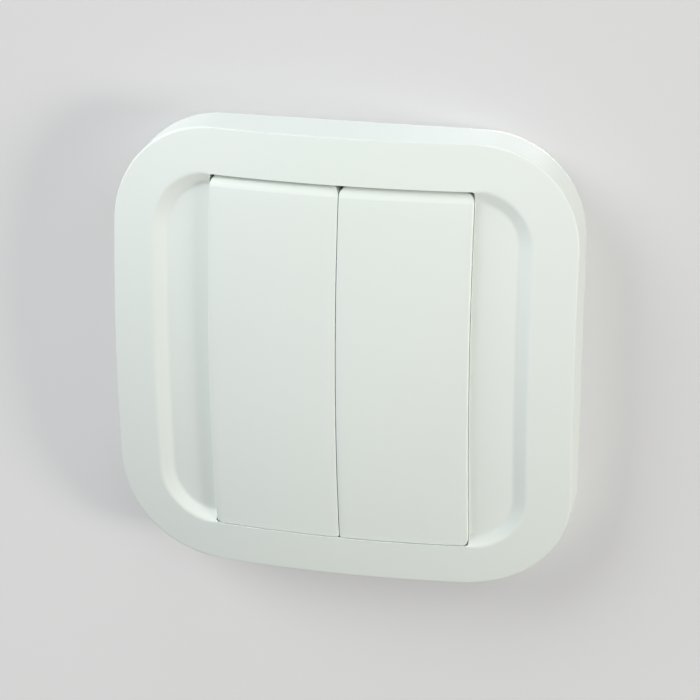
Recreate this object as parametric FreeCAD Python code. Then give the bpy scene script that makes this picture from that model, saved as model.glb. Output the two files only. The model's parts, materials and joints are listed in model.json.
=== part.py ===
import FreeCAD, Part
import math
import os

# Wireless remote wall switch: a domed frame with two rocker keys, held by magnets on a wall plate.
# X runs to the right, Z runs up and the wall is the plane y = 0, with the front towards -Y.
# A depth is a distance from the wall towards the front. All lengths are in millimetres.

# Driving dimensions: face
FACE_SIZE = 80.0
FACE_CORNER = 17.5
DOME_RADIUS = 177.0
RIM_WIDTH = 7.7
RIM_THICKNESS = 2.8
FACE_EDGE_FILLET = 0.3
DISH_LIP = 0.6
DISH_DEPTH = 1.3
DISH_SLOPE = 30.0
DISH_FILLET = 1.6
OPENING_WIDTH = 45.3
OPENING_CORNER = 1.2

# Driving dimensions: side walls and clips
FRAME_WALL = 2.2
FRAME_BACK_GAP = 0.3
HOUSING_GAP = 0.4
HOUSING_WALL = 1.4
HOUSING_BACK_GAP = 0.4
FLOOR_THICKNESS = 1.1
LEDGE_WIDTH = 1.2
LEDGE_DROP = 0.4
CLIP_LENGTH = 8.0
CLIP_HEIGHT = 1.2
CLIP_REACH = 0.9
CLIP_BELOW_LEDGE = 0.8
CLIP_CLEARANCE = 0.15

# Driving dimensions: wall plate
PLATE_THICKNESS = 1.8
PLATE_CLEARANCE = 0.4
PLATE_GAP = 0.1
SLOT_WIDTH = 4.2
SLOT_LENGTH = 6.4
SLOT_FROM_EDGE = 5.6
SCREW_HEAD_WIDTH = 7.6
SCREW_HEAD_DEPTH = 1.0
MAGNET_DIAMETER = 10.0
MAGNET_THICKNESS = 1.2
MAGNET_INSET = 12.6
MAGNET_CLEARANCE = 0.05
KEEPER_THICKNESS = 0.7
KEEPER_WALL = 1.4
KEEPER_COVER = 0.8
PAD_HEIGHT = 14.0
PAD_THICKNESS = 0.5
PAD_CENTRE = 20.0
PAD_CORNER = 2.0
PAD_MARGIN = 1.0
PAD_CLEARANCE = 0.1

# Driving dimensions: rocker keys and their pivots
KEY_CENTRE_GAP = 0.2
KEY_SIDE_GAP = 0.2
KEY_END_GAP = 0.25
KEY_CORNER = 1.2
KEY_EDGE_FILLET = 0.8
KEY_THICKNESS = 1.7
KEY_SKIRT = 3.2
KEY_SKIRT_WALL = 1.4
KEY_TILT = 1.5
PIVOT_HEIGHT = 2.6
PIVOT_PIN_DIAMETER = 2.4
PIVOT_CLEARANCE = 0.05
POST_WIDTH = 3.0
POST_CLEARANCE = 0.2
EAR_THICKNESS = 2.2
EAR_GAP = 0.3
EAR_WALL = 1.0
EAR_MOUTH = 1.9
EAR_MOUTH_REACH = 0.8
PIN_END = 0.2
PUSHER_WIDTH = 4.0
PUSHER_TIP_RADIUS = 1.5
PUSHER_LENGTH = 0.78
PUSHER_GAP = 0.05

# Driving dimensions: circuit board and switches
BOARD_THICKNESS = 1.0
BOARD_CORNER = 2.0
BOARD_MARGIN = 0.45
SWITCH_FROM_EDGE = 11.2
SWITCH_SIZE = 6.0
SWITCH_HEIGHT = 2.2
SWITCH_BASE = 0.5
SWITCH_CORNER = 0.5
COVER_THICKNESS = 0.25
COVER_TAB_WIDTH = 2.4
COVER_TAB_DROP = 1.5
PLUNGER_DIAMETER = 3.4
PLUNGER_PROUD = 0.85
PLUNGER_FLANGE = 0.5
PLUNGER_FLANGE_HEIGHT = 0.4
PLUNGER_CLEARANCE = 0.05
PLUNGER_REST_GAP = 0.15
BOARD_SCREW_INSET = 3.5
BOARD_SCREW_DIAMETER = 1.6
BOARD_SCREW_BITE = 3.0
BOARD_SCREW_HEAD_DIAMETER = 3.4
BOARD_SCREW_HEAD_HEIGHT = 1.0
BOARD_SCREW_CROSS_WIDTH = 0.5
BOARD_SCREW_CROSS_DEPTH = 0.6
BOARD_SCREW_CLEARANCE = 0.05
BOARD_HOLE_CLEARANCE = 0.25
BOSS_WALL = 1.4

# Driving dimensions: coin cell, its contacts and its door
CELL_DIAMETER = 20.0
CELL_THICKNESS = 3.2
CELL_CENTRE = -17.0
CELL_STEP = 0.9
CELL_CAP_HEIGHT = 0.6
CELL_TOUCH = 0.05
CLIP_SHEET = 0.25
CLIP_STRAP_WIDTH = 6.0
CLIP_SIDE_GAP = 0.3
CLIP_FLOOR_GAP = 0.2
CLIP_FOOT = 2.4
CONTACT_HEIGHT = 0.3
CONTACT_SHEET = 0.15
CONTACT_LENGTH = 8.0
CONTACT_WIDTH = 5.0
CONTACT_BUTTON_DIAMETER = 3.6
DOOR_MARGIN = 2.0
DOOR_CLEARANCE = 0.1
DOOR_RIM = 0.8
DOOR_RIM_HEIGHT = 0.6
DOOR_LUG_REACH = 1.2
DOOR_LUG_ANGLE = 20.0
DOOR_LUG_COUNT = 3
DOOR_LOCKED_ANGLE = 90.0
DOOR_TURN = 45.0
COIN_SLOT_LENGTH = 14.0
COIN_SLOT_WIDTH = 2.0
COIN_SLOT_DEPTH = 0.6

# Driving dimensions: radio and small parts on the back of the board
RADIO_FROM_EDGE = 14.2
RADIO_WIDTH = 16.0
RADIO_HEIGHT = 12.0
RADIO_THICKNESS = 0.8
SHIELD_MARGIN = 1.4
SHIELD_HEIGHT = 1.9
SHIELD_SHEET = 0.2
SHIELD_CORNER = 0.6
ANTENNA_LENGTH = 7.2
ANTENNA_WIDTH = 2.4
ANTENNA_HEIGHT = 1.0
ANTENNA_FROM_EDGE = 2.2
CRYSTAL_LENGTH = 5.0
CRYSTAL_WIDTH = 3.2
CRYSTAL_HEIGHT = 1.1
CRYSTAL_CORNER = 0.6
CRYSTAL_FROM_EDGE = 14.2
CAPACITOR_LENGTH = 1.6
CAPACITOR_WIDTH = 0.8
CAPACITOR_HEIGHT = 0.8
CAPACITOR_PITCH = 2.4
CAPACITOR_COUNT = 4
SIDE_PARTS_FROM_EDGE = 7.1

# A cutting tool runs past the faces that it opens by this much
PAST = 1.0
# Small pieces of one moulding run into each other by this much
EMBED = 0.4

# Widths, from the face inwards
FACE_HALF = FACE_SIZE / 2
FRAME_INNER_HALF = FACE_HALF - FRAME_WALL
LEDGE_HALF = FRAME_INNER_HALF - LEDGE_WIDTH
HOUSING_HALF = FRAME_INNER_HALF - HOUSING_GAP
HOUSING_INNER_HALF = HOUSING_HALF - HOUSING_WALL
PLATE_HALF = HOUSING_INNER_HALF - PLATE_CLEARANCE
SLOT_CENTRE = PLATE_HALF - SLOT_FROM_EDGE
MAGNET_CENTRE = PLATE_HALF - MAGNET_INSET
PAD_HALF_WIDTH = MAGNET_CENTRE - MAGNET_DIAMETER / 2 - PAD_MARGIN
OPENING_HALF_X = OPENING_WIDTH / 2
OPENING_HALF_Z = FACE_HALF - RIM_WIDTH
KEY_HALF_X = (OPENING_HALF_X - KEY_SIDE_GAP - KEY_CENTRE_GAP / 2) / 2
KEY_HALF_Z = OPENING_HALF_Z - KEY_END_GAP
KEY_CENTRE = KEY_CENTRE_GAP / 2 + KEY_HALF_X
BOARD_HALF_X = OPENING_HALF_X - KEY_SIDE_GAP - KEY_SKIRT_WALL - BOARD_MARGIN
BOARD_HALF_Z = KEY_HALF_Z - KEY_SKIRT_WALL - BOARD_MARGIN
BOARD_SCREW_X = BOARD_HALF_X - BOARD_SCREW_INSET
BOARD_SCREW_Z = BOARD_HALF_Z - BOARD_SCREW_INSET
SWITCH_CENTRE = BOARD_HALF_Z - SWITCH_FROM_EDGE
RADIO_CENTRE = BOARD_HALF_Z - RADIO_FROM_EDGE
CRYSTAL_CENTRE = BOARD_HALF_Z - CRYSTAL_FROM_EDGE
SIDE_PARTS_CENTRE = BOARD_HALF_X - SIDE_PARTS_FROM_EDGE
CELL_RADIUS = CELL_DIAMETER / 2
DOOR_RADIUS = CELL_RADIUS + DOOR_MARGIN
PIN_RADIUS = PIVOT_PIN_DIAMETER / 2
PLUNGER_RADIUS = PLUNGER_DIAMETER / 2
PLUNGER_TRAVEL = SWITCH_CENTRE * math.tan(math.radians(KEY_TILT))

# Depths, from the wall to the front
FLOOR_BACK = PLATE_THICKNESS + PLATE_GAP
FLOOR_FRONT = FLOOR_BACK + FLOOR_THICKNESS
STRAP_BACK = FLOOR_FRONT + CLIP_FLOOR_GAP
CELL_BACK = STRAP_BACK + CLIP_SHEET + CELL_TOUCH
CELL_FRONT = CELL_BACK + CELL_THICKNESS
BOARD_BACK = CELL_FRONT + CONTACT_HEIGHT
BOARD_FRONT = BOARD_BACK + BOARD_THICKNESS
SWITCH_TOP = BOARD_FRONT + SWITCH_HEIGHT
COVER_TOP = SWITCH_TOP + COVER_THICKNESS
PLUNGER_TOP = COVER_TOP + PLUNGER_PROUD
PIVOT_DEPTH = BOARD_FRONT + PIVOT_HEIGHT
PUSHER_TIP = PLUNGER_TOP + PUSHER_GAP
DOME_DROP = DOME_RADIUS - math.sqrt(DOME_RADIUS**2 - KEY_CENTRE**2 - SWITCH_CENTRE**2)
APEX = PUSHER_TIP + PUSHER_LENGTH + KEY_THICKNESS + DOME_DROP

SIDES = {"left": -1, "right": 1}
ENDS = {"upper": 1, "lower": -1}
CORNERS = [(right, up) for right in (-1, 1) for up in (-1, 1)]


def at(x, depth, z):
    return FreeCAD.Vector(x, -depth, z)


FORWARD = FreeCAD.Vector(0, -1, 0)
SIDEWAYS = FreeCAD.Vector(1, 0, 0)


def face_depth(x, z, inset=0.0):
    """Depth of the domed face, or of a surface the inset behind it, at one place."""
    return APEX - DOME_RADIUS + math.sqrt((DOME_RADIUS - inset) ** 2 - x * x - z * z)


def dome(inset=0.0):
    """Ball whose front is the domed face, or lies the inset behind it."""
    return Part.makeSphere(DOME_RADIUS - inset, at(0, APEX - DOME_RADIUS, 0))


def block(half_x, half_z, back, front, x=0.0, z=0.0):
    corner = at(x - half_x, front, z - half_z)
    return Part.makeBox(2 * half_x, front - back, 2 * half_z, corner)


def slab(half_x, half_z, radius, back, front, x=0.0, z=0.0):
    """Plate with rounded corners between two depths."""
    box = block(half_x, half_z, back, front, x, z)
    upright = [edge for edge in box.Edges if abs(edge.tangentAt(edge.FirstParameter).y) > 0.5]
    return box.makeFillet(radius, upright)


def disc(radius, back, front, x=0.0, z=0.0):
    return Part.makeCylinder(radius, front - back, at(x, back, z), FORWARD)


def bar(radius, length, x, depth, z):
    """Round bar along X, centred on one place."""
    return Part.makeCylinder(radius, length, at(x - length / 2, depth, z), SIDEWAYS)


def slot(width, length, back, front, x=0.0, z=0.0):
    """Round-ended slot along X between two depths."""
    offset = (length - width) / 2
    middle = block(offset, width / 2, back, front, x, z)
    ends = [disc(width / 2, back, front, x + way * offset, z) for way in (-1, 1)]
    return joined([middle] + ends)


def inner_corner(half):
    """Corner radius that keeps a smaller outline concentric with the face."""
    return FACE_CORNER - (FACE_HALF - half)


def square(half, back, front):
    return slab(half, half, inner_corner(half), back, front)


def domed_face(shape):
    balls = [face for face in shape.Faces if isinstance(face.Surface, Part.Sphere)]
    return max(balls, key=lambda face: face.Area)


def joined(shapes):
    first, *others = shapes
    return first.fuse(others).removeSplitter() if others else first


def ledge_depth():
    """Depth of the step inside the frame that sits on the housing's wall."""
    corner = LEDGE_HALF - inner_corner(LEDGE_HALF) * (1 - math.sqrt(0.5))
    return face_depth(corner, corner, RIM_THICKNESS) - LEDGE_DROP


LEDGE = ledge_depth()
CLIP_FRONT = LEDGE - CLIP_BELOW_LEDGE
CLIP_BACK = CLIP_FRONT - CLIP_HEIGHT


def dish_outline(half, inset):
    """Wire round the dish where a square of this half width meets a surface of this inset."""
    return domed_face(square(half, LEDGE, APEX + PAST).common(dome(inset))).copy()


def dish_tool():
    """Solid that sinks the dish, with walls that slope evenly all along the dome."""
    lip = DISH_FILLET * math.tan(math.radians(DISH_SLOPE) / 2)
    run_per_depth = 1 / math.tan(math.radians(DISH_SLOPE))
    lip_half = FACE_HALF - RIM_WIDTH + DISH_LIP
    floor_half = lip_half - lip - DISH_DEPTH * run_per_depth
    mouth_half = floor_half + (DISH_DEPTH + PAST) * run_per_depth
    floor = dish_outline(floor_half, DISH_DEPTH)
    mouth = dish_outline(mouth_half, -PAST)
    walls = Part.makeLoft([floor.OuterWire, mouth.OuterWire], False, True)
    shell = Part.makeShell(walls.Faces + [floor, mouth])
    shell.sewShape()
    tool = Part.makeSolid(shell)
    if tool.Volume < 0:
        tool.reverse()
    return tool


def dish_edges(shape):
    """Long edges along the top and the foot of the dish's sloping wall."""
    floor_radius = DOME_RADIUS - DISH_DEPTH
    rims = []
    for face in shape.Faces:
        if not isinstance(face.Surface, Part.Sphere):
            continue
        if abs(face.Surface.Radius - floor_radius) < DISH_DEPTH / 2:
            rims.extend(face.Edges)
        else:
            rims.extend(min(face.Wires, key=lambda wire: wire.Length).Edges)
    return rims


def on_sides(shape):
    """Four copies of a shape made for the top side, one for each side of the square."""
    copies = []
    for quarter in range(4):
        turned = shape.copy()
        turned.rotate(at(0, 0, 0), FORWARD, 90 * quarter)
        copies.append(turned)
    return copies


def clip_bump(clearance):
    """Catch on the frame's top inner wall, or the window for it with a clearance."""
    low = FRAME_INNER_HALF - HOUSING_GAP - CLIP_REACH - clearance
    high = FRAME_INNER_HALF + EMBED
    half = (high - low) / 2
    back = CLIP_BACK - clearance
    front = CLIP_FRONT + clearance
    return block(CLIP_LENGTH / 2 + clearance, half, back, front, z=low + half)


def front_frame():
    frame = square(FACE_HALF, FRAME_BACK_GAP, APEX + PAST).common(dome())
    frame = frame.makeFillet(FACE_EDGE_FILLET, domed_face(frame).Edges)
    frame = frame.cut(dish_tool())
    frame = frame.makeFillet(DISH_FILLET, dish_edges(frame))
    skirt_room = square(FRAME_INNER_HALF, FRAME_BACK_GAP - PAST, LEDGE)
    key_room = square(LEDGE_HALF, LEDGE - EMBED, APEX).common(dome(RIM_THICKNESS))
    opening = slab(OPENING_HALF_X, OPENING_HALF_Z, OPENING_CORNER, LEDGE, APEX + PAST)
    frame = frame.cut([skirt_room, key_room, opening])
    return joined([frame] + on_sides(clip_bump(0.0)))


def pusher(x, z):
    """Rounded rib behind a key that presses one plunger."""
    centre = PUSHER_TIP + PUSHER_TIP_RADIUS
    rib = bar(PUSHER_TIP_RADIUS, PUSHER_WIDTH, x, centre, z)
    return rib.common(dome(KEY_THICKNESS - EMBED))


def pivot_ear(x):
    """Ear behind a key with an open eye that snaps over the pivot pin."""
    eye = PIN_RADIUS + PIVOT_CLEARANCE
    half_height = eye + EAR_WALL
    foot = PIVOT_DEPTH - EAR_MOUTH_REACH
    ear = block(EAR_THICKNESS / 2, half_height, foot, APEX, x)
    ear = ear.common(dome(KEY_THICKNESS - EMBED))
    length = EAR_THICKNESS + 2 * PAST
    mouth = block(length / 2, EAR_MOUTH / 2, foot - PAST, PIVOT_DEPTH, x)
    return ear.cut([bar(eye, length, x, PIVOT_DEPTH, 0.0), mouth])


def rocker(side):
    x = side * KEY_CENTRE
    key = slab(KEY_HALF_X, KEY_HALF_Z, KEY_CORNER, 0.0, APEX + PAST, x).common(dome())
    key = key.makeFillet(KEY_EDGE_FILLET, domed_face(key).Edges)
    inside = slab(
        KEY_HALF_X - KEY_SKIRT_WALL,
        KEY_HALF_Z - KEY_SKIRT_WALL,
        KEY_CORNER,
        0.0,
        APEX,
        x,
    )
    key = key.cut([dome(KEY_SKIRT), inside.common(dome(KEY_THICKNESS))])
    ear_offset = (POST_WIDTH + EAR_THICKNESS) / 2 + EAR_GAP
    ears = [pivot_ear(x + way * ear_offset) for way in (-1, 1)]
    pushers = [pusher(x, end * SWITCH_CENTRE) for end in ENDS.values()]
    return joined([key] + ears + pushers)


def pivot_post(side):
    """Post from the housing's floor through the board, with a pin out of each flank."""
    x = side * KEY_CENTRE
    half = POST_WIDTH / 2
    post = block(half, half, FLOOR_FRONT - EMBED, PIVOT_DEPTH, x)
    head = bar(half, POST_WIDTH, x, PIVOT_DEPTH, 0.0)
    pin_length = POST_WIDTH + 2 * (EAR_GAP + EAR_THICKNESS + PIN_END)
    pin = bar(PIN_RADIUS, pin_length, x, PIVOT_DEPTH, 0.0)
    return [post, head, pin]


def board_screw_places():
    return [(right * BOARD_SCREW_X, up * BOARD_SCREW_Z) for right, up in CORNERS]


def magnet_places():
    return [(right * MAGNET_CENTRE, up * MAGNET_CENTRE) for right, up in CORNERS]


def door_lug(radius, back, front, angle, width_angle):
    """Sector of a disc about the door's centre, cut to one lug's width."""
    reach = 2 * radius
    turns = [math.radians(angle + way * width_angle / 2) for way in (-1, 1)]
    centre = at(0.0, back, CELL_CENTRE)
    rays = [centre + at(reach * math.cos(turn), 0.0, reach * math.sin(turn)) for turn in turns]
    wedge = Part.Face(Part.makePolygon([centre] + rays + [centre])).extrude(at(0, front - back, 0))
    return disc(radius, back, front, z=CELL_CENTRE).common(wedge)


def door_lugs(radius, back, front, start, width_angle):
    pitch = 360.0 / DOOR_LUG_COUNT
    return [
        door_lug(radius, back, front, start + number * pitch, width_angle)
        for number in range(DOOR_LUG_COUNT)
    ]


def door_opening():
    """Round window for the cell's door, with a notch for each lug where the door is unlocked."""
    reach = DOOR_RADIUS + DOOR_LUG_REACH + DOOR_CLEARANCE
    back = FLOOR_BACK - PAST
    front = FLOOR_FRONT + PAST
    margin = math.degrees(DOOR_CLEARANCE / DOOR_RADIUS)
    notch_angle = DOOR_LUG_ANGLE + 2 * margin
    window = disc(DOOR_RADIUS + DOOR_CLEARANCE, back, front, z=CELL_CENTRE)
    return [window] + door_lugs(reach, back, front, DOOR_LOCKED_ANGLE - DOOR_TURN, notch_angle)


def rear_housing():
    tray = square(HOUSING_HALF, HOUSING_BACK_GAP, LEDGE)
    plate_room = square(HOUSING_INNER_HALF, HOUSING_BACK_GAP - PAST, FLOOR_BACK)
    board_room = square(HOUSING_INNER_HALF, FLOOR_FRONT, LEDGE + PAST)
    windows = on_sides(clip_bump(CLIP_CLEARANCE))
    tray = tray.cut([plate_room, board_room] + windows)
    keeper_radius = MAGNET_DIAMETER / 2 + MAGNET_CLEARANCE
    keeper_back = FLOOR_BACK + KEEPER_THICKNESS
    lower = FLOOR_FRONT - EMBED
    cups = [
        disc(keeper_radius + KEEPER_WALL, lower, keeper_back + KEEPER_COVER, x, z)
        for x, z in magnet_places()
    ]
    boss_radius = BOARD_SCREW_DIAMETER / 2 + BOARD_SCREW_CLEARANCE + BOSS_WALL
    bosses = [disc(boss_radius, lower, BOARD_BACK, x, z) for x, z in board_screw_places()]
    posts = [piece for side in SIDES.values() for piece in pivot_post(side)]
    tray = joined([tray] + cups + bosses + posts)
    keepers = [
        disc(keeper_radius, FLOOR_BACK - PAST, keeper_back, x, z) for x, z in magnet_places()
    ]
    pilot_radius = BOARD_SCREW_DIAMETER / 2 + BOARD_SCREW_CLEARANCE
    pilot_end = BOARD_BACK - BOARD_SCREW_BITE - BOARD_SCREW_CLEARANCE
    pilots = [
        disc(pilot_radius, pilot_end, BOARD_BACK + PAST, x, z) for x, z in board_screw_places()
    ]
    return tray.cut(keepers + pilots + door_opening())


def keeper_discs():
    front = FLOOR_BACK + KEEPER_THICKNESS
    return [disc(MAGNET_DIAMETER / 2, FLOOR_BACK, front, x, z) for x, z in magnet_places()]


def cell_door():
    lid = disc(DOOR_RADIUS, FLOOR_BACK, FLOOR_FRONT, z=CELL_CENTRE)
    lug_back = FLOOR_FRONT + DOOR_CLEARANCE
    lug_front = FLOOR_FRONT + DOOR_RIM_HEIGHT
    rim = disc(DOOR_RADIUS, FLOOR_FRONT, lug_front, z=CELL_CENTRE)
    reach = DOOR_RADIUS + DOOR_LUG_REACH
    lugs = door_lugs(reach, lug_back, lug_front, DOOR_LOCKED_ANGLE, DOOR_LUG_ANGLE)
    cell_room = disc(DOOR_RADIUS - DOOR_RIM, FLOOR_FRONT, lug_front + PAST, z=CELL_CENTRE)
    slot_front = FLOOR_BACK + COIN_SLOT_DEPTH
    coin_slot = slot(COIN_SLOT_WIDTH, COIN_SLOT_LENGTH, FLOOR_BACK - PAST, slot_front, z=CELL_CENTRE)
    return joined([lid, rim] + lugs).cut([cell_room, coin_slot])


def wall_plate():
    plate = square(PLATE_HALF, 0.0, PLATE_THICKNESS)
    cuts = []
    for side in SIDES.values():
        x = side * SLOT_CENTRE
        head_length = SLOT_LENGTH - SLOT_WIDTH + SCREW_HEAD_WIDTH
        head_back = PLATE_THICKNESS - SCREW_HEAD_DEPTH
        front = PLATE_THICKNESS + PAST
        cuts.append(slot(SLOT_WIDTH, SLOT_LENGTH, -PAST, front, x))
        cuts.append(slot(SCREW_HEAD_WIDTH, head_length, head_back, front, x))
    pocket_radius = MAGNET_DIAMETER / 2 + MAGNET_CLEARANCE
    pocket_back = PLATE_THICKNESS - MAGNET_THICKNESS
    for x, z in magnet_places():
        cuts.append(disc(pocket_radius, pocket_back, PLATE_THICKNESS + PAST, x, z))
    cuts.extend(pads(PAD_CLEARANCE, -PAST))
    return plate.cut(cuts)


def plate_magnets():
    back = PLATE_THICKNESS - MAGNET_THICKNESS
    return [disc(MAGNET_DIAMETER / 2, back, PLATE_THICKNESS, x, z) for x, z in magnet_places()]


def pads(clearance, back):
    """Adhesive strips in the back of the wall plate, or the pockets for them with a clearance."""
    half_x = PAD_HALF_WIDTH + clearance
    half_z = PAD_HEIGHT / 2 + clearance
    radius = PAD_CORNER + clearance
    return [
        slab(half_x, half_z, radius, back, PAD_THICKNESS, z=end * PAD_CENTRE)
        for end in ENDS.values()
    ]


def circuit_board():
    board = slab(BOARD_HALF_X, BOARD_HALF_Z, BOARD_CORNER, BOARD_BACK, BOARD_FRONT)
    back = BOARD_BACK - PAST
    front = BOARD_FRONT + PAST
    half = POST_WIDTH / 2 + POST_CLEARANCE
    cuts = [block(half, half, back, front, side * KEY_CENTRE) for side in SIDES.values()]
    radius = BOARD_SCREW_DIAMETER / 2 + BOARD_HOLE_CLEARANCE
    cuts.extend(disc(radius, back, front, x, z) for x, z in board_screw_places())
    return board.cut(cuts)


def board_screw(x, z):
    radius = BOARD_SCREW_DIAMETER / 2
    top = BOARD_FRONT + BOARD_SCREW_HEAD_HEIGHT
    shank = disc(radius, BOARD_BACK - BOARD_SCREW_BITE, BOARD_FRONT + EMBED, x, z)
    head = disc(BOARD_SCREW_HEAD_DIAMETER / 2, BOARD_FRONT, top, x, z)
    half = BOARD_SCREW_CROSS_WIDTH / 2
    reach = BOARD_SCREW_DIAMETER / 2
    back = top - BOARD_SCREW_CROSS_DEPTH
    cross = [block(reach, half, back, top + PAST, x, z), block(half, reach, back, top + PAST, x, z)]
    return joined([shank, head]).cut(cross)


def switch_body(side, end):
    x = side * KEY_CENTRE
    z = end * SWITCH_CENTRE
    half = SWITCH_SIZE / 2
    body = slab(half, half, SWITCH_CORNER, BOARD_FRONT, SWITCH_TOP, x, z)
    room = PLUNGER_RADIUS + PLUNGER_FLANGE + PLUNGER_CLEARANCE
    return body.cut(disc(room, BOARD_FRONT + SWITCH_BASE, SWITCH_TOP + PAST, x, z))


def switch_cover(side, end):
    """Sheet cover with a hole for the plunger and a tab down each flank of the switch."""
    x = side * KEY_CENTRE
    z = end * SWITCH_CENTRE
    half = SWITCH_SIZE / 2
    cover = block(half + COVER_THICKNESS, half, SWITCH_TOP, COVER_TOP, x, z)
    hole = disc(PLUNGER_RADIUS + PLUNGER_CLEARANCE, SWITCH_TOP - PAST, COVER_TOP + PAST, x, z)
    tabs = [
        block(
            COVER_THICKNESS / 2,
            COVER_TAB_WIDTH / 2,
            SWITCH_TOP - COVER_TAB_DROP,
            COVER_TOP,
            x + way * (half + COVER_THICKNESS / 2),
            z,
        )
        for way in (-1, 1)
    ]
    return joined([cover.cut(hole)] + tabs)


def plunger(side, end):
    x = side * KEY_CENTRE
    z = end * SWITCH_CENTRE
    foot = BOARD_FRONT + SWITCH_BASE + PLUNGER_TRAVEL + PLUNGER_REST_GAP
    flange = disc(PLUNGER_RADIUS + PLUNGER_FLANGE, foot, foot + PLUNGER_FLANGE_HEIGHT, x, z)
    return joined([flange, disc(PLUNGER_RADIUS, foot, PLUNGER_TOP, x, z)])


def coin_cell():
    """Sealed cell: a wide can towards the wall and a smaller cap towards the board."""
    can = disc(CELL_RADIUS, CELL_BACK, CELL_FRONT - CELL_CAP_HEIGHT, z=CELL_CENTRE)
    cap = disc(CELL_RADIUS - CELL_STEP, CELL_BACK, CELL_FRONT, z=CELL_CENTRE)
    return joined([can, cap])


def cell_clip():
    """Sheet strap over the cell's back with a leg and a soldered foot on each side."""
    inner = CELL_RADIUS + CLIP_SIDE_GAP
    outer = inner + CLIP_SHEET
    half_z = CLIP_STRAP_WIDTH / 2
    strap = block(outer, half_z, STRAP_BACK, STRAP_BACK + CLIP_SHEET, z=CELL_CENTRE)
    pieces = [strap]
    for side in SIDES.values():
        leg_x = side * (inner + CLIP_SHEET / 2)
        foot_x = side * (inner + CLIP_FOOT / 2)
        foot_back = BOARD_BACK - CLIP_SHEET
        pieces.append(block(CLIP_SHEET / 2, half_z, STRAP_BACK, BOARD_BACK, leg_x, CELL_CENTRE))
        pieces.append(block(CLIP_FOOT / 2, half_z, foot_back, BOARD_BACK, foot_x, CELL_CENTRE))
    return joined(pieces)


def cell_contact():
    """Sheet contact on the board with a raised button against the cell's cap."""
    sheet_back = BOARD_BACK - CONTACT_SHEET
    sheet = block(CONTACT_LENGTH / 2, CONTACT_WIDTH / 2, sheet_back, BOARD_BACK, z=CELL_CENTRE)
    button = disc(CONTACT_BUTTON_DIAMETER / 2, CELL_FRONT, BOARD_BACK, z=CELL_CENTRE)
    return joined([sheet, button])


def radio_board():
    back = BOARD_BACK - RADIO_THICKNESS
    return block(RADIO_WIDTH / 2, RADIO_HEIGHT / 2, back, BOARD_BACK, z=RADIO_CENTRE)


def radio_shield():
    """Sheet can over the radio board, open towards it."""
    half_x = RADIO_WIDTH / 2 - SHIELD_MARGIN
    half_z = RADIO_HEIGHT / 2 - SHIELD_MARGIN
    front = BOARD_BACK - RADIO_THICKNESS
    back = front - SHIELD_HEIGHT
    can = slab(half_x, half_z, SHIELD_CORNER, back, front, z=RADIO_CENTRE)
    inner_x = half_x - SHIELD_SHEET
    inner_z = half_z - SHIELD_SHEET
    radius = SHIELD_CORNER - SHIELD_SHEET
    return can.cut(slab(inner_x, inner_z, radius, back + SHIELD_SHEET, front + PAST, z=RADIO_CENTRE))


def chip_antenna():
    back = BOARD_BACK - ANTENNA_HEIGHT
    z = BOARD_HALF_Z - ANTENNA_FROM_EDGE
    return block(ANTENNA_LENGTH / 2, ANTENNA_WIDTH / 2, back, BOARD_BACK, z=z)


def crystal_can():
    back = BOARD_BACK - CRYSTAL_HEIGHT
    half_x = CRYSTAL_WIDTH / 2
    half_z = CRYSTAL_LENGTH / 2
    x = -SIDE_PARTS_CENTRE
    return slab(half_x, half_z, CRYSTAL_CORNER, back, BOARD_BACK, x, CRYSTAL_CENTRE)


def capacitors():
    back = BOARD_BACK - CAPACITOR_HEIGHT
    first = CRYSTAL_CENTRE - CAPACITOR_PITCH * (CAPACITOR_COUNT - 1) / 2
    half_x = CAPACITOR_LENGTH / 2
    half_z = CAPACITOR_WIDTH / 2
    return [
        block(half_x, half_z, back, BOARD_BACK, SIDE_PARTS_CENTRE, first + number * CAPACITOR_PITCH)
        for number in range(CAPACITOR_COUNT)
    ]


def switch_pieces():
    """The four switches under the keys: bodies and plungers by place, and the group of covers."""
    nodes = {}
    covers = []
    for end_name, end in ENDS.items():
        for side_name, side in SIDES.items():
            place = f"{end_name}_{side_name}"
            nodes[f"switch_body_{place}"] = switch_body(side, end)
            nodes[f"plunger_{place}"] = plunger(side, end)
            covers.append(switch_cover(side, end))
    nodes["switch_covers"] = Part.makeCompound(covers)
    return nodes


def all_pieces():
    nodes = {
        "wall_plate": wall_plate(),
        "plate_magnets": Part.makeCompound(plate_magnets()),
        "adhesive_pads": Part.makeCompound(pads(0.0, 0.0)),
        "rear_housing": rear_housing(),
        "keeper_discs": Part.makeCompound(keeper_discs()),
        "cell_door": cell_door(),
        "front_frame": front_frame(),
        "circuit_board": circuit_board(),
        "board_screws": Part.makeCompound([board_screw(x, z) for x, z in board_screw_places()]),
        "coin_cell": coin_cell(),
        "cell_clip": cell_clip(),
        "cell_contact": cell_contact(),
        "radio_board": radio_board(),
        "radio_shield": radio_shield(),
        "chip_antenna": chip_antenna(),
        "crystal_can": crystal_can(),
        "capacitors": Part.makeCompound(capacitors()),
    }
    for side_name, side in SIDES.items():
        nodes[f"rocker_{side_name}"] = rocker(side)
    nodes.update(switch_pieces())
    return nodes


os.makedirs("parts", exist_ok=True)
for node, shape in all_pieces().items():
    shape.exportStep(f"parts/{node}.step")
    print(node, "solids", len(shape.Solids), "valid", shape.isValid(), "volume", round(shape.Volume, 2))
print("depth", round(APEX, 3), "ledge", round(LEDGE, 3), "pivot", round(PIVOT_DEPTH, 3))
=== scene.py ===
import json
import math

import bmesh
import bpy
from mathutils import Matrix, Vector


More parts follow.
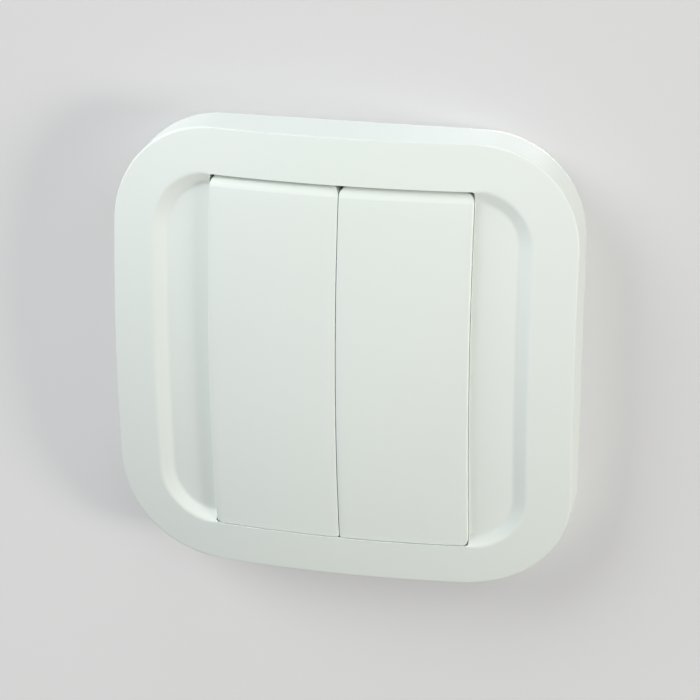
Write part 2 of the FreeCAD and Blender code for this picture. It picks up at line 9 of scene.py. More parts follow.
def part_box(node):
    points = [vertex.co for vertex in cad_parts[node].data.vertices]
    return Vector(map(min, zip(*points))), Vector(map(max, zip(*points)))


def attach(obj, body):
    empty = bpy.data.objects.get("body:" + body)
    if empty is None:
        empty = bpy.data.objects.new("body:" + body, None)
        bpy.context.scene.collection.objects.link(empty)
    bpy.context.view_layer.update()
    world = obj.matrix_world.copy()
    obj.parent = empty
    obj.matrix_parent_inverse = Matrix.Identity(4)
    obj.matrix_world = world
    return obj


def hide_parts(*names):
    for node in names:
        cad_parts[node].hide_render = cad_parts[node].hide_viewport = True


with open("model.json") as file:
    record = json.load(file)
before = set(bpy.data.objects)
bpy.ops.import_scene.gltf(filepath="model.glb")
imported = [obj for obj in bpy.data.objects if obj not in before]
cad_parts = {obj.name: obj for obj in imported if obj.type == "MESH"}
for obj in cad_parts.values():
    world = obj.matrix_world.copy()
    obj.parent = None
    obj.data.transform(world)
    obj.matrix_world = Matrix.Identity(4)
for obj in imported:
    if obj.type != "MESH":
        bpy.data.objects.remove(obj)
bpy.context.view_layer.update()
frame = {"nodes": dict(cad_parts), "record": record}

# Wireless wall switch. The domed frame and the two rocker keys are modelled here as smooth shells.
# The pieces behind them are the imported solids, with softened edges on those that can be seen.
# X runs to the right, Z runs up and the wall is the plane y = 0.
# A depth is a distance from the wall.

MM = 0.001
QUARTER_TURN = math.pi / 2
QUARTERS = 4

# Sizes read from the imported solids
frame_low, frame_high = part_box("front_frame")
key_low, key_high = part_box("rocker_right")
FACE_HALF = frame_high.x
FRAME_BACK = -frame_high.y
KEY_CENTRE = (key_high.x + key_low.x) / 2
APEX = -key_low.y

# Frame's outline, rim and back
FACE_CORNER = 17.5 * MM
DOME_RADIUS = 177.0 * MM
RIM_WIDTH = 7.7 * MM
RIM_THICKNESS = 2.8 * MM
FACE_EDGE_FILLET = 0.3 * MM
BACK_EDGE_FILLET = 0.3 * MM
FRAME_WALL = 2.2 * MM
LEDGE_WIDTH = 1.2 * MM
LEDGE_DEPTH = 5.85 * MM
CORE_HALF = FACE_HALF - FACE_CORNER

# Dish beside the keys
DISH_LIP = 0.6 * MM
DISH_DEPTH = 1.3 * MM
DISH_SLOPE = math.radians(30.0)
DISH_FILLET = 1.6 * MM
LIP_FADE = 1.6 * MM
DISH_START = RIM_WIDTH - DISH_LIP

# Keys and the play round them
KEY_CENTRE_GAP = 0.13 * MM
KEY_SIDE_GAP = 0.09 * MM
KEY_TOP_GAP = 0.2 * MM
KEY_FOOT_GAP = 0.1 * MM
KEY_SINK = 0.2 * MM
KEY_TOP_CORNER = 1.7 * MM
KEY_FOOT_CORNER = 0.4 * MM
KEY_OUTER_FOOT_CORNER = 1.0 * MM
KEY_EDGE_FILLET = 0.12 * MM
KEY_ROLL_WIDTH = 1.4 * MM
KEY_ROLL_SLOPE = math.radians(12.0)
KEY_END_LENGTH = 1.8 * MM
KEY_END_FALL = 1.1 * MM
LEAD_IN_LENGTH = 1.9 * MM
LEAD_IN_SLOPE = math.radians(8.0)
KEY_THICKNESS = 1.7 * MM
KEY_SKIRT = 3.2 * MM
KEY_SKIRT_WALL = 1.4 * MM
OPENING_CORNER = 0.5 * MM
OPENING_HALF_Z = FACE_HALF - RIM_WIDTH
KEY_HALF_X = KEY_CENTRE - KEY_CENTRE_GAP / 2
OPENING_HALF_X = KEY_CENTRE + KEY_HALF_X + KEY_SIDE_GAP
KEY_TOP = OPENING_HALF_Z - KEY_TOP_GAP
KEY_FOOT = OPENING_HALF_Z - KEY_FOOT_GAP
LEAD_IN = KEY_TOP - LEAD_IN_LENGTH
KEY_FRONT = APEX - KEY_SINK

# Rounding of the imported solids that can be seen
SOFT_EDGES = {
    "wall_plate": 0.25 * MM,
    "rear_housing": 0.2 * MM,
    "cell_door": 0.2 * MM,
    "plate_magnets": 0.2 * MM,
    "keeper_discs": 0.1 * MM,
    "adhesive_pads": 0.1 * MM,
}

# How finely the shells are divided
FILLET_STEPS = 8
STRAIGHT_STEPS = 14
CORNER_STEPS = 24
CHORD_STEPS = 6
FLAT_STEPS = 4
ROOF_STEPS = 6
SUPPORT = 0.2 * MM
CREASE = 0.06 * MM
PIVOT = 0.02 * MM
KEY_COLUMNS = 7
KEY_ROWS = 20
ROLL_STEPS = 5
EDGE_STEPS = 4
SOFT_STEPS = 2
FIRST_END_STEP = 3

# Limits for merging, for flat and sharp edges and for faces that look along Y
MERGE = 1e-6
FLAT = math.radians(0.5)
FLAT_WEIGHT = 100
SHARP = math.radians(35.0)
FACING = 0.99

# Photograph's camera
PHOTO_WIDTH = 700
CAMERA_AZIMUTH = math.radians(12.527)
CAMERA_ELEVATION = math.radians(21.666)
CAMERA_DISTANCE = 445.496 * MM
FOCAL_PIXELS = 2558.58
CENTRE_PIXELS = (4.13, -9.149)
SENSOR_WIDTH = 36.0
CLIP_START = 10 * MM

# Levels of the even light and of the background that the camera sees
AMBIENT = 0.15
BACKDROP = 0.7

# Wall's tone where it takes light and shadow, and the even tone mixed into it
WALL_LIT = (0.78, 0.78, 0.78)
WALL_EVEN = (0.67, 0.67, 0.67)
EVEN_SHARE = 0.35
WALL_REACH = 1.5
WALL_BEHIND = 0.15 * MM

# Tints of the lamps
NEUTRAL = (1.0, 1.0, 1.0)
COOL = (0.95, 0.97, 1.0)
WARM = (1.0, 0.96, 0.89)

# Sizes in the finishes, and how far drift and grain change the plastic's gloss
DRIFT_SIZE = 28 * MM
GRAIN_SIZE = 0.28 * MM
STREAK_SIZE = 0.12 * MM
STREAK_SQUEEZE = (0.04, 1.0, 1.0)
STAIN_SIZE = 4 * MM
TRACK_PITCH = 6 * MM
LACQUER_SIZE = 0.4 * MM
SPECKLE_SIZE = 0.15 * MM
MOTTLE_SIZE = 1.6 * MM
TOOTH_SIZE = 0.12 * MM
FINE_RELIEF = 0.01 * MM
COARSE_RELIEF = 0.02 * MM
GLOSS_LIFT = 0.03
DRIFT_IN_GLOSS = 0.04
GRAIN_IN_GLOSS = 0.03

# Colour sockets of the Mix node
MIX_FIRST = 6
MIX_SECOND = 7
MIX_RESULT = 2


class Value:
    """A socket's value. Sums and products with it add Math nodes to its tree."""

    def __init__(self, tree, socket):
        self.tree = tree
        self.socket = socket

    def math(self, operation, first, second):
        return self.tree.node("ShaderNodeMath", {"operation": operation}, {0: first, 1: second})

    def __add__(self, other):
        return self.math("ADD", self, other)

    def __radd__(self, other):
        return self.math("ADD", other, self)

    def __mul__(self, other):
        return self.math("MULTIPLY", self, other)

    def __rmul__(self, other):
        return self.math("MULTIPLY", other, self)


class Tree:
    """A node tree, with one method that adds any node."""

    def __init__(self, owner):
        owner.use_nodes = True
        self.nodes = owner.node_tree.nodes
        self.links = owner.node_tree.links

    def node(self, kind, settings=None, inputs=None, output=0):
        node = self.nodes.new(kind)
        for name, value in (settings or {}).items():
            setattr(node, name, value)
        for name, value in (inputs or {}).items():
            self.feed(node.inputs[name], value)
        return Value(self, node.outputs[output])

    def feed(self, socket, value):
        """Links a value to a socket, or sets a number or a colour on it."""
        if isinstance(value, Value):
            self.links.new(value.socket, socket)
        else:
            socket.default_value = value


class Finish(Tree):
    """A material on one principled shader."""

    def __init__(self, name):
        self.material = bpy.data.materials.new(name)
        super().__init__(self.material)
        self.shader = self.nodes["Principled BSDF"]
        self.place = self.node("ShaderNodeTexCoord", output="Object")

    def set(self, **sockets):
        for name, value in sockets.items():
            self.feed(self.shader.inputs[name.replace("_", " ").title()], value)

    def noise(self, size, detail=2.0, roughness=0.5, place=None):
        """Noise from 0 to 1 with features of this size in metres."""
        inputs = {
            "Vector": place or self.place,
            "Scale": 1 / size,
            "Detail": detail,
            "Roughness": roughness,
        }
        return self.node("ShaderNodeTexNoise", {"normalize": True}, inputs)

    def mapping(self, **inputs):
        """The surface's place, turned or scaled."""
        sockets = {name.title(): value for name, value in inputs.items()}
        return self.node("ShaderNodeMapping", None, {"Vector": self.place, **sockets})

    def mix(self, factor, first, second):
        inputs = {"Factor": factor, MIX_FIRST: (*first, 1.0), MIX_SECOND: (*second, 1.0)}
        return self.node("ShaderNodeMix", {"data_type": "RGBA"}, inputs, output=MIX_RESULT)

    def bump(self, height, strength, distance):
        inputs = {"Height": height, "Strength": strength, "Distance": distance}
        return self.node("ShaderNodeBump", None, inputs)


def moulded_plastic(name, light, shade, roughness, grain, coat=0.0):
    """Injection-moulded plastic: a fine spark-eroded grain and a faint drift in tone and gloss."""
    finish = Finish(name)
    drift = finish.noise(DRIFT_SIZE, detail=3.0)
    texture = finish.noise(GRAIN_SIZE, roughness=0.6)
    finish.set(
        base_color=finish.mix(drift, shade, light),
        roughness=roughness - GLOSS_LIFT + DRIFT_IN_GLOSS * drift + GRAIN_IN_GLOSS * texture,
        normal=finish.bump(texture, strength=grain, distance=FINE_RELIEF),
        coat_weight=coat,
        coat_roughness=0.18,
    )
    return finish.material


def plated_metal(name, light, shade, roughness, brushed):
    """Plated sheet or turned metal with fine streaks along X."""
    finish = Finish(name)
    streak = finish.noise(STREAK_SIZE, detail=3.0, place=finish.mapping(scale=STREAK_SQUEEZE))
    stain = finish.noise(STAIN_SIZE, detail=3.0)
    finish.set(
        base_color=finish.mix(stain, shade, light),
        metallic=1.0,
        roughness=roughness + brushed * streak,
        normal=finish.bump(streak, strength=0.15, distance=FINE_RELIEF),
    )
    return finish.material


def solder_mask(name, light, shade):
    """Board lacquer over copper: faint tracks under a glossy coat."""
    finish = Finish(name)
    inputs = {
        "Vector": finish.mapping(rotation=(QUARTER_TURN, 0.0, 0.0)),
        "Scale": 1 / TRACK_PITCH,
        "Mortar Size": 0.06,
        "Mortar Smooth": 0.2,
    }
    tracks = finish.node("ShaderNodeTexBrick", {"offset": 0.5}, inputs, output="Fac")
    finish.set(
        base_color=finish.mix(tracks, shade, light),
        roughness=0.32 + 0.08 * finish.noise(LACQUER_SIZE),
        normal=finish.bump(tracks, strength=0.2, distance=COARSE_RELIEF),
        coat_weight=0.3,
    )
    return finish.material


def fired_ceramic(name, light, shade):
    """Fired ceramic: a fine speckle in tone and relief."""
    finish = Finish(name)
    speckle = finish.noise(SPECKLE_SIZE, detail=4.0, roughness=0.7)
    finish.set(
        base_color=finish.mix(speckle, shade, light),
        roughness=0.45 + 0.2 * speckle,
        normal=finish.bump(speckle, strength=0.2, distance=FINE_RELIEF),
    )
    return finish.material


def adhesive_foam(name, light, shade):
    """Foam tape with its paper liner: a soft mottle and a fine paper tooth."""
    finish = Finish(name)
    mottle = finish.noise(MOTTLE_SIZE, detail=4.0, roughness=0.65)
    tooth = finish.noise(TOOTH_SIZE, detail=3.0, roughness=0.7)
    finish.set(
        base_color=finish.mix(mottle, shade, light),
        roughness=0.62 + 0.2 * tooth,
        normal=finish.bump(0.5 * mottle + tooth, strength=0.35, distance=COARSE_RELIEF),
    )
    return finish.material


FINISHES = {
    "white_plastic": moulded_plastic(
        "white_plastic",
        (0.80, 0.85, 0.81),
        (0.77, 0.83, 0.78),
        roughness=0.46,
        grain=0.10,
        coat=0.05,
    ),
    "plate_plastic": moulded_plastic(
        "plate_plastic", (0.74, 0.77, 0.74), (0.70, 0.73, 0.70), roughness=0.5, grain=0.25
    ),
    "black_plastic": moulded_plastic(
        "black_plastic", (0.03, 0.03, 0.03), (0.02, 0.02, 0.02), roughness=0.45, grain=0.2
    ),
    "plunger_plastic": moulded_plastic(
        "plunger_plastic", (0.12, 0.12, 0.13), (0.08, 0.08, 0.09), roughness=0.4, grain=0.2
    ),
    "magnet": plated_metal(
        "magnet", (0.66, 0.65, 0.63), (0.56, 0.55, 0.54), roughness=0.18, brushed=0.10
    ),
    "zinc_steel": plated_metal(
        "zinc_steel", (0.62, 0.63, 0.65), (0.50, 0.52, 0.54), roughness=0.28, brushed=0.15
    ),
    "cell_steel": plated_metal(
        "cell_steel", (0.70, 0.70, 0.70), (0.60, 0.60, 0.60), roughness=0.2, brushed=0.12
    ),
    "spring_steel": plated_metal(
        "spring_steel", (0.72, 0.70, 0.66), (0.62, 0.60, 0.57), roughness=0.24, brushed=0.12
    ),
    "tinned_steel": plated_metal(
        "tinned_steel", (0.68, 0.69, 0.69), (0.58, 0.59, 0.60), roughness=0.3, brushed=0.15
    ),
    "board_green": solder_mask("board_green", (0.02, 0.16, 0.07), (0.03, 0.24, 0.11)),
    "radio_green": solder_mask("radio_green", (0.01, 0.09, 0.16), (0.02, 0.14, 0.24)),
    "ceramic": fired_ceramic("ceramic", (0.64, 0.54, 0.40), (0.54, 0.44, 0.32)),
    "adhesive_foam": adhesive_foam("adhesive_foam", (0.74, 0.75, 0.74), (0.64, 0.65, 0.64)),
}

record = frame["record"]
node_body = {node: body for body, nodes in record["behaviour"]["bodies"].items() for node in nodes}
node_slot = {entry["node"]: entry["material_slot"] for entry in record["subparts"]}


def drop(x, z):
    """How far the dome falls back from its top at one place."""
    return DOME_RADIUS - math.sqrt(DOME_RADIUS**2 - x * x - z * z)


def lay_on_dome(bm, flat_depth):
    """Moves every vertex that is further forward than the given depth back by the dome's drop."""
    for vertex in bm.verts:
        if -vertex.co.y > flat_depth:
            vertex.co.y += drop(vertex.co.x, vertex.co.z)


def steps(start, end, count):
    """Evenly spaced values from start to end, with both ends."""
    return [start + (end - start) * number / count for number in range(count + 1)]


def dish_wall():
    """Inset and depth along the dish's wall: a rounded lip, a straight slope and a rounded foot."""
    side = DISH_FILLET * math.sin(DISH_SLOPE)
    fall = DISH_FILLET * (1 - math.cos(DISH_SLOPE))
    run = 2 * side + (DISH_DEPTH - 2 * fall) / math.tan(DISH_SLOPE)
    turns = steps(0.0, DISH_SLOPE, FILLET_STEPS)
    lip = [(DISH_FILLET * math.sin(turn), DISH_FILLET * (1 - math.cos(turn))) for turn in turns]
    foot = [(run - inset, DISH_DEPTH - depth) for inset, depth in reversed(lip)]
    return [(DISH_START + inset, APEX - depth) for inset, depth in lip + foot]


def rounded_edge(radius, face, inward, turns):
    """Inset and depth along the rounded outer edge of a face. Inward is the way into the wall."""
    return [
        (radius * (1 - math.cos(turn)), face + inward * radius * (1 - math.sin(turn)))
        for turn in turns
    ]


def frame_profile():
    """Section of the frame at the middle of its top, as inset from the outline and depth.

    It runs from the dish's floor over the rim and round the back to the ceiling over the keys.
    """
    deepest = FACE_CORNER - PIVOT
    wall = dish_wall()
    foot = wall[-1][0]
    floor = [(inset, APEX - DISH_DEPTH) for inset in steps(deepest, foot + SUPPORT, FLAT_STEPS)]
    rim_ends = (DISH_START - SUPPORT, FACE_EDGE_FILLET + SUPPORT)
    rim = [(inset, APEX) for inset in steps(*rim_ends, FLAT_STEPS)]
    front_turns = steps(QUARTER_TURN, 0.0, FILLET_STEPS)
    edge = rounded_edge(FACE_EDGE_FILLET, APEX, -1, front_turns)
    side = [
        (0.0, APEX - FACE_EDGE_FILLET - SUPPORT),
        (0.0, FRAME_BACK + BACK_EDGE_FILLET + SUPPORT),
    ]
    back_turns = steps(0.0, QUARTER_TURN, FILLET_STEPS // 2)
    back = rounded_edge(BACK_EDGE_FILLET, FRAME_BACK, 1, back_turns)
    ledge = FRAME_WALL + LEDGE_WIDTH
    inner = [
        (FRAME_WALL - SUPPORT, FRAME_BACK),
        (FRAME_WALL, FRAME_BACK + SUPPORT),
        (FRAME_WALL, LEDGE_DEPTH),
        (ledge, LEDGE_DEPTH),
    ]
    roof = [(inset, APEX - RIM_THICKNESS) for inset in steps(ledge, deepest, ROOF_STEPS)]
    return floor + wall[::-1] + rim + edge + side + back + inner + roof


def swept_quarter(bm, profile):
    """Sweeps the profile along half the top, round the corner and down half the right side."""
    rows = [bm.verts.new((0.0, -depth, FACE_HALF - inset)) for inset, depth in profile]
    chain = [bm.edges.new(pair) for pair in zip(rows, rows[1:])]
    across = CORE_HALF / STRAIGHT_STEPS
    corner = Vector((CORE_HALF, 0.0, CORE_HALF))
    moves = (
        (0.0, Vector((across, 0.0, 0.0)), STRAIGHT_STEPS),
        (QUARTER_TURN, Vector(), CORNER_STEPS),
        (0.0, Vector((0.0, 0.0, -across)), STRAIGHT_STEPS),
    )
    geometry = rows + chain
    for angle, shift, count in moves:
        swept = bmesh.ops.spin(
            bm,
            geom=geometry,
            cent=corner,
            axis=(0.0, 1.0, 0.0),
            dvec=shift,
            angle=angle,
            steps=count,
        )
        geometry = swept["geom_last"]


def mirror_all(bm, axis):
    geometry = bm.verts[:] + bm.edges[:] + bm.faces[:]
    bmesh.ops.mirror(bm, geom=geometry, matrix=Matrix.Identity(4), merge_dist=MERGE, axis=axis)


def opening_planes():
    """Outward normals and distances of the opening's sides and of chords round its corners."""
    core_x = OPENING_HALF_X - OPENING_CORNER
    core_z = OPENING_HALF_Z - OPENING_CORNER
    turn = QUARTER_TURN / CHORD_STEPS
    sides = [(number * QUARTER_TURN, OPENING_CORNER) for number in range(QUARTERS)]
    chord_reach = OPENING_CORNER * math.cos(turn / 2)
    chords = [((number + 0.5) * turn, chord_reach) for number in range(QUARTERS * CHORD_STEPS)]
    planes = []
    for angle, reach in sides + chords:
        normal = Vector((math.cos(angle), 0.0, math.sin(angle)))
        planes.append((normal, core_x * abs(normal.x) + core_z * abs(normal.z) + reach))
    return planes


def beyond_chord(bm, normal, distance):
    """Faces in the opening that reach past a chord of its corners."""
    found = []
    for face in bm.faces:
        centre = face.calc_center_median()
        within_x = abs(centre.x) < OPENING_HALF_X + MERGE
        within_z = abs(centre.z) < OPENING_HALF_Z + MERGE
        if within_x and within_z and max(normal.dot(vertex.co) for vertex in face.verts) > distance:
            found.append(face)
    return found


def cut_opening(bm):
    """Cuts the keys' opening through both skins of the frame and joins the skins round it."""
    planes = opening_planes()
    for number, (normal, distance) in enumerate(planes):
        is_side = number < QUARTERS
        faces = bm.faces[:] if is_side else beyond_chord(bm, normal, distance)
        edges = {edge for face in faces for edge in face.edges}
        vertices = {vertex for face in faces for vertex in face.verts}
        bmesh.ops.bisect_plane(
            bm,
            geom=faces + list(edges) + list(vertices),
            dist=MERGE,
            plane_co=normal * distance,
            plane_no=normal,
        )
    inside = [
        face
        for face in bm.faces
        if all(normal.dot(face.calc_center_median()) < distance for normal, distance in planes)
    ]
    bmesh.ops.delete(bm, geom=inside, context="FACES")
    rims = [edge for edge in bm.edges if edge.is_boundary]
    bmesh.ops.bridge_loops(bm, edges=rims)


def level_rails(bm):
    """Keeps the rails flat up to the keys' ends. The dish's lip fades in beside the opening."""
    rolled = DISH_FILLET - math.sqrt(DISH_FILLET**2 - DISH_LIP**2)
    for vertex in bm.verts:
        fall = APEX + vertex.co.y
        if 0.0 < fall < DISH_DEPTH and abs(vertex.co.z) > OPENING_HALF_Z - FACE_CORNER:
            beside = (abs(vertex.co.x) - OPENING_HALF_X) / LIP_FADE
            share = min(max(1.0 - beside, 0.0), 1.0)
            lift = share * rolled * (DISH_DEPTH - fall) / (DISH_DEPTH - rolled)
            vertex.co.y -= min(lift, fall)


def frame_shell():
    """The frame: rim, dish, opening and the inside of its skin."""
    bm = bmesh.new()
    swept_quarter(bm, frame_profile())
    mirror_all(bm, "X")
    mirror_all(bm, "Z")
    cut_opening(bm)
    level_rails(bm)
    lay_on_dome(bm, LEDGE_DEPTH + SUPPORT)
    bmesh.ops.recalc_face_normals(bm, faces=bm.faces[:])
    return bm


def round_edges(bm, edges, radius, segments):
    bmesh.ops.bevel(
        bm,
        geom=edges,
        offset=radius,
        offset_type="OFFSET",
        affect="EDGES",
        segments=segments,
        profile=0.5,
        material=-1,
    )


def round_uprights(bm, radius, corners):
    """Rounds a key's upright edges nearest to the given corners of its front."""
    near = KEY_HALF_X / 2
    uprights = [
        edge
        for edge in bm.edges
        if abs(edge.verts[0].co.y - edge.verts[1].co.y) > MERGE
        and any((edge.verts[0].co.xz - Vector(corner)).length < near for corner in corners)
    ]
    round_edges(bm, uprights, radius, FILLET_STEPS)


def round_front(bm):
    """Rounds the edges round a key's front."""
    bm.normal_update()
    edges = {edge for face in bm.faces if face.normal.y < -FACING for edge in face.edges}
    round_edges(bm, list(edges), KEY_EDGE_FILLET, EDGE_STEPS)


def hollow_back(bm):
    """Leaves a skirt round a key's back and sinks the rest to the plate's thickness."""
    bm.normal_update()
    back = [face for face in bm.faces if face.normal.y > FACING]
    bmesh.ops.inset_region(bm, faces=back, thickness=KEY_SKIRT_WALL, use_even_offset=True)
    sunk = bmesh.ops.extrude_face_region(bm, geom=back)
    bmesh.ops.delete(bm, geom=back, context="FACES")
    sunk_verts = [item for item in sunk["geom"] if isinstance(item, bmesh.types.BMVert)]
    bmesh.ops.translate(bm, vec=(0.0, KEY_THICKNESS - KEY_SKIRT, 0.0), verts=sunk_verts)


def slice_mesh(bm, place, normal):
    geometry = bm.verts[:] + bm.edges[:] + bm.faces[:]
    bmesh.ops.bisect_plane(bm, geom=geometry, dist=MERGE, plane_co=place, plane_no=normal)


def slice_key(bm, side):
    """Divides a key finely enough for its front to bend, closer at the sides and the top end."""
    roll_start = KEY_HALF_X - KEY_ROLL_WIDTH
    middle = steps(-roll_start, roll_start, KEY_COLUMNS)[1:-1]
    rolled = steps(roll_start, KEY_HALF_X - 2 * KEY_EDGE_FILLET, ROLL_STEPS)
    for x in middle + rolled + [-x for x in rolled]:
        slice_mesh(bm, (side * KEY_CENTRE + x, 0.0, 0.0), (1.0, 0.0, 0.0))
    foot = 2 * KEY_EDGE_FILLET - KEY_FOOT
    length = steps(foot, LEAD_IN, KEY_ROWS)[:-1]
    lead_in = [LEAD_IN - CREASE, LEAD_IN + CREASE]
    turns = steps(0.0, QUARTER_TURN, FILLET_STEPS)[FIRST_END_STEP:]
    rounded_end = [KEY_TOP - KEY_END_LENGTH * (1 - math.cos(turn)) for turn in turns]
    for z in length + lead_in + rounded_end:
        slice_mesh(bm, (0.0, 0.0, z), (0.0, 0.0, 1.0))


def key_fall(x, z):
    """How far a key's front falls back towards its sides and its top."""
    into_roll = max(abs(x) - KEY_HALF_X + KEY_ROLL_WIDTH, 0.0)
    roll = into_roll**2 / (2 * KEY_ROLL_WIDTH) * math.tan(KEY_ROLL_SLOPE)
    lead_in = max(z - LEAD_IN, 0.0) * math.tan(LEAD_IN_SLOPE)
    into_end = min(max((z - KEY_TOP) / KEY_END_LENGTH + 1.0, 0.0), 1.0)
    return roll + lead_in + KEY_END_FALL * (1.0 - math.sqrt(1.0 - into_end**2))


def key_shell(side):
    """A key: a domed plate with rolled sides, a lead-in and a round top end, on a skirt."""
    bm = bmesh.new()
    bmesh.ops.create_cube(bm, size=1.0)
    centre = (side * KEY_CENTRE, KEY_SKIRT / 2 - KEY_FRONT, (KEY_TOP - KEY_FOOT) / 2)
    size = (2 * KEY_HALF_X, KEY_SKIRT, KEY_TOP + KEY_FOOT, 1.0)
    place = Matrix.Translation(centre) @ Matrix.Diagonal(size)
    bmesh.ops.transform(bm, matrix=place, verts=bm.verts[:])
    inner = side * (KEY_CENTRE - KEY_HALF_X)
    outer = side * (KEY_CENTRE + KEY_HALF_X)
    round_uprights(bm, KEY_TOP_CORNER, [(inner, KEY_TOP), (outer, KEY_TOP)])
    round_uprights(bm, KEY_FOOT_CORNER, [(inner, -KEY_FOOT)])
    round_uprights(bm, KEY_OUTER_FOOT_CORNER, [(outer, -KEY_FOOT)])
    round_front(bm)
    hollow_back(bm)
    slice_key(bm, side)
    for vertex in bm.verts:
        if vertex.co.y < KEY_EDGE_FILLET + MERGE - KEY_FRONT:
            vertex.co.y += key_fall(vertex.co.x - side * KEY_CENTRE, vertex.co.z)
    lay_on_dome(bm, 0.0)
    bmesh.ops.recalc_face_normals(bm, faces=bm.faces[:])
    return bm


def as_piece(bm, name, node):
    """Finishes a mesh as a piece that stands for a node, on its body and with its slot's finish."""
    body = node_body[node]
    slot = node_slot[node]
    mesh = bpy.data.meshes.new(name)
    bm.to_mesh(mesh)
    bm.free()
    mesh.shade_smooth()
    mesh.set_sharp_from_angle(angle=SHARP)
    mesh.materials.append(FINISHES[slot])
    piece = bpy.data.objects.new(name, mesh)
    bpy.context.scene.collection.objects.link(piece)
    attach(piece, body)
    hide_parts(node)
    return piece


def softened(node, width):
    """Copy of a node's solid with its sharp edges rounded and its flat faces shaded flat."""
    bm = bmesh.new()
    bm.from_mesh(frame["nodes"][node].data)
    bmesh.ops.remove_doubles(bm, verts=bm.verts[:], dist=MERGE)
    bmesh.ops.dissolve_limit(
        bm,
        angle_limit=FLAT,
        verts=bm.verts[:],
        edges=bm.edges[:],
        use_dissolve_boundaries=False,
    )
    piece = as_piece(bm, f"{node}_piece", node)
    edge = piece.modifiers.new("rounded_edges", "BEVEL")
    edge.width = width
    edge.segments = SOFT_STEPS
    edge.limit_method = "ANGLE"
    edge.angle_limit = SHARP
    edge.harden_normals = True
    flat = piece.modifiers.new("flat_faces", "WEIGHTED_NORMAL")
    flat.mode = "FACE_AREA"
    flat.weight = FLAT_WEIGHT


def dress_solids():
    """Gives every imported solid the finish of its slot."""
    for node, solid in frame["nodes"].items():
        solid.data.materials.clear()
        solid.data.materials.append(FINISHES[node_slot[node]])


def build_pieces():
    """Makes the shells that show from the front and the softened solids behind them."""
    as_piece(frame_shell(), "frame_shell", "front_frame")
    for name, side in (("left", -1), ("right", 1)):
        as_piece(key_shell(side), f"key_{name}_shell", f"rocker_{name}")
    for node, width in SOFT_EDGES.items():
        softened(node, width)


def seen_rays(tree):
    """One for rays that show the background: from the camera, mirrored or through glass."""
    camera_ray = tree.node("ShaderNodeLightPath", output="Is Camera Ray")
    glossy_ray = tree.node("ShaderNodeLightPath", output="Is Glossy Ray")
    clear_ray = tree.node("ShaderNodeLightPath", output="Is Transmission Ray")
    return camera_ray + glossy_ray + clear_ray


def wall_paint():
    """Matt paint that keeps the switch's shadow and is clear from behind."""
    paint = Finish("wall_paint")
    paint.set(base_color=(*WALL_LIT, 1.0))
    paint.feed(paint.shader.inputs["Specular IOR Level"], 0.0)
    lit = Value(paint, paint.shader.outputs[0])
    even = paint.node("ShaderNodeEmission", None, {"Color": (*WALL_EVEN, 1.0), "Strength": 1.0})
    clear = paint.node("ShaderNodeBsdfTransparent")
    behind = paint.node("ShaderNodeNewGeometry", output="Backfacing")
    share = EVEN_SHARE * seen_rays(paint)
    front = paint.node("ShaderNodeMixShader", None, {0: share, 1: lit, 2: even})
    mixed = paint.node("ShaderNodeMixShader", None, {0: behind, 1: front, 2: clear})
    paint.feed(paint.nodes["Material Output"].inputs["Surface"], mixed)
    return paint.material


def pale_wall():
    """Wall behind the switch, which only the camera sees."""
    bm = bmesh.new()
    bmesh.ops.create_grid(bm, x_segments=1, y_segments=1, size=WALL_REACH)
    upright = Matrix.Rotation(QUARTER_TURN, 4, "X")
    place = Matrix.Translation((0.0, WALL_BEHIND, 0.0)) @ upright
    bmesh.ops.transform(bm, matrix=place, verts=bm.verts[:])
    mesh = bpy.data.meshes.new("wall")
    bm.to_mesh(mesh)
    bm.free()
    mesh.materials.append(wall_paint())
    wall = bpy.data.objects.new("wall", mesh)
    bpy.context.scene.collection.objects.link(wall)
    wall.visible_diffuse = False
    wall.visible_glossy = False
    wall.visible_transmission = False
    wall.visible_shadow = False


def direction(azimuth, elevation):
    """Unit vector from the switch, with the azimuth from the front to the right."""
    level = math.cos(elevation)
    return Vector((math.sin(azimuth) * level, -math.cos(azimuth) * level, math.sin(elevation)))


def aim(item, azimuth, elevation, distance):
    """Adds a lamp or a camera to the scene, at a distance from the switch and turned to it."""
    towards = direction(azimuth, elevation)
    item.location = towards * distance
    item.rotation_euler = (-towards).to_track_quat("-Z", "Y").to_euler()
    bpy.context.scene.collection.objects.link(item)


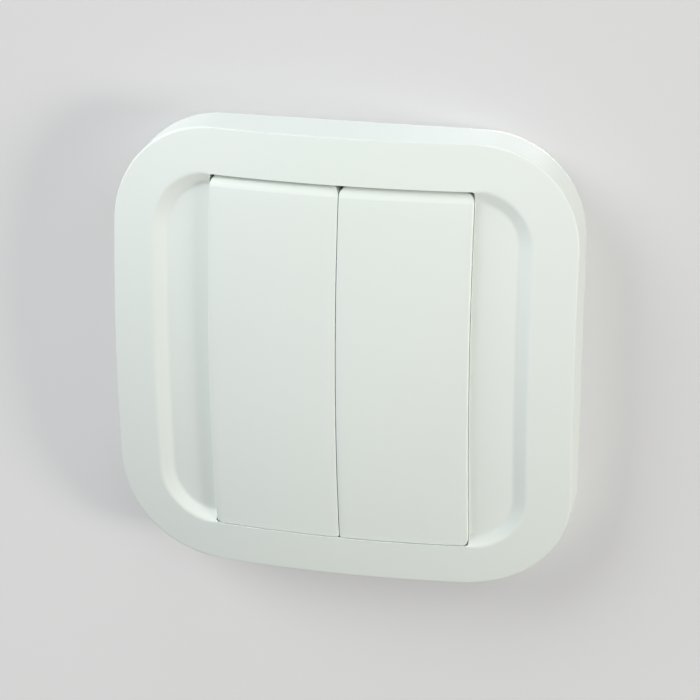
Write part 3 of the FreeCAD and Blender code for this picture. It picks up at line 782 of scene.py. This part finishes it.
def softbox(name, azimuth, elevation, distance, size, power, tint=NEUTRAL):
    """Square area lamp that faces the switch. Its angles are in degrees."""
    lamp = bpy.data.lights.new(name, "AREA")
    lamp.shape = "SQUARE"
    lamp.size = size
    lamp.energy = power
    lamp.color = tint
    box = bpy.data.objects.new(name, lamp)
    aim(box, math.radians(azimuth), math.radians(elevation), distance)


def background(tree, level):
    """Even white light of one level."""
    inputs = {"Color": (1.0, 1.0, 1.0, 1.0), "Strength": level}
    return tree.node("ShaderNodeBackground", None, inputs)


def studio_light():
    """Lamps round the switch and the even light of the studio."""
    softbox("left_softbox", -60, 36, distance=1.3, size=0.9, power=15.8, tint=COOL)
    softbox("top_softbox", 0, 88, distance=1.4, size=0.6, power=6.0, tint=COOL)
    softbox("right_lamp", 68, -3, distance=1.4, size=0.3, power=11.7, tint=WARM)
    softbox("right_softbox", 40, 28, distance=1.4, size=0.8, power=3.5)
    softbox("low_softbox", 0, -40, distance=1.4, size=0.8, power=2.0)
    softbox("back_softbox", 180, 0, distance=1.6, size=0.5, power=16.0)
    world = bpy.data.worlds.new("studio")
    bpy.context.scene.world = world
    tree = Tree(world)
    shaders = {0: seen_rays(tree), 1: background(tree, AMBIENT), 2: background(tree, BACKDROP)}
    mixed = tree.node("ShaderNodeMixShader", None, shaders)
    tree.feed(tree.nodes["World Output"].inputs["Surface"], mixed)


def photo_camera():
    """Camera fitted to the photograph's edges."""
    lens = bpy.data.cameras.new("photo_camera")
    lens.sensor_width = SENSOR_WIDTH
    lens.lens = FOCAL_PIXELS * SENSOR_WIDTH / PHOTO_WIDTH
    lens.shift_x = -CENTRE_PIXELS[0] / PHOTO_WIDTH
    lens.shift_y = CENTRE_PIXELS[1] / PHOTO_WIDTH
    lens.clip_start = CLIP_START
    camera = bpy.data.objects.new("photo_camera", lens)
    aim(camera, CAMERA_AZIMUTH, CAMERA_ELEVATION, CAMERA_DISTANCE)
    bpy.context.scene.camera = camera


dress_solids()
build_pieces()
pale_wall()
studio_light()
photo_camera()
bpy.context.scene.view_settings.view_transform = "Standard"
